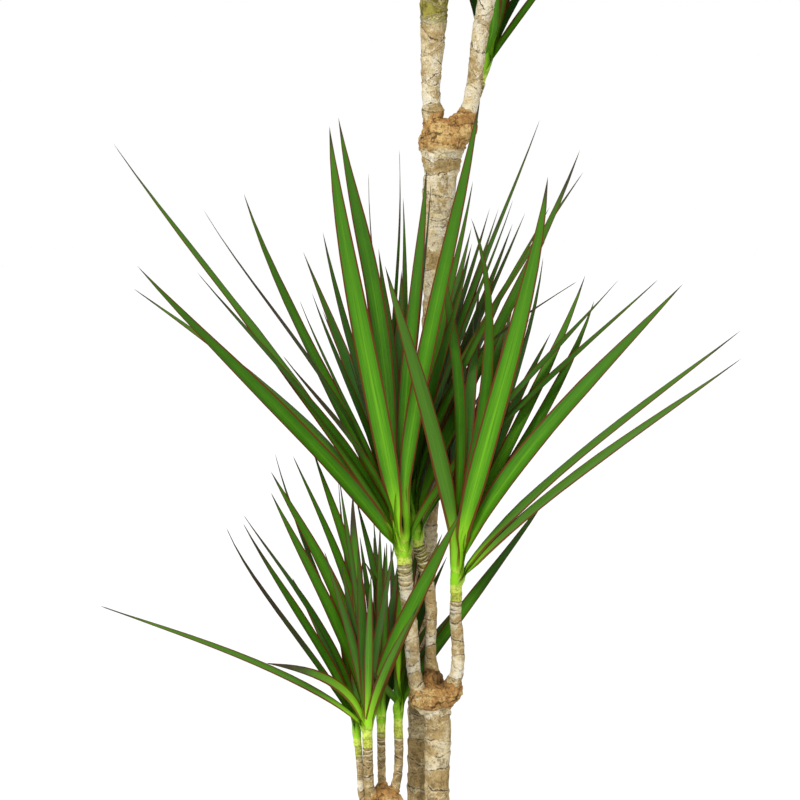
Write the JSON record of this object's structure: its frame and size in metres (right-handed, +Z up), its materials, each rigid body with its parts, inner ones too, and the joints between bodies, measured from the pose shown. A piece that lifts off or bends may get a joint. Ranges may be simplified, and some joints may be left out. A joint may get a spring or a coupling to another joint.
{
  "type": "potted dracaena marginata",
  "caption": "Tall potted house plant: bare canes of different heights, each cut off at a corky callus that carries side stems topped by rosettes of long narrow arching leaves, in a plain nursery pot.",
  "frame": {"origin": "centre of the pot's flat base, on the surface that the pot stands on", "axes": "+Z up; -Y towards the viewer of the picture, with +X to the viewer's right"},
  "size_m": [0.7107, 0.6574, 1.6324],
  "materials": {
    "pot": "matt dark plastic, lightly scuffed",
    "soil": "loose potting mix of peat and composted bark",
    "bark": "pale grey-tan bark with ring-shaped leaf scars and rough orange-tan callus",
    "leaf": "smooth leathery green leaf with a paler middle and thin red-brown margins, softly glossy"
  },
  "bodies": {
    "root": {"pot": "pot", "soil": "soil", "cane_tall": "bark", "cane_medium": "bark", "cane_short": "bark", "crown_tall_left": "leaf", "crown_tall_right": "leaf", "crown_tall_back": "leaf", "crown_medium_left": "leaf", "crown_medium_middle": "leaf", "crown_medium_right": "leaf", "crown_short_1": "leaf", "crown_short_2": "leaf", "crown_short_3": "leaf", "crown_short_4": "leaf"}
  },
  "joints": []
}
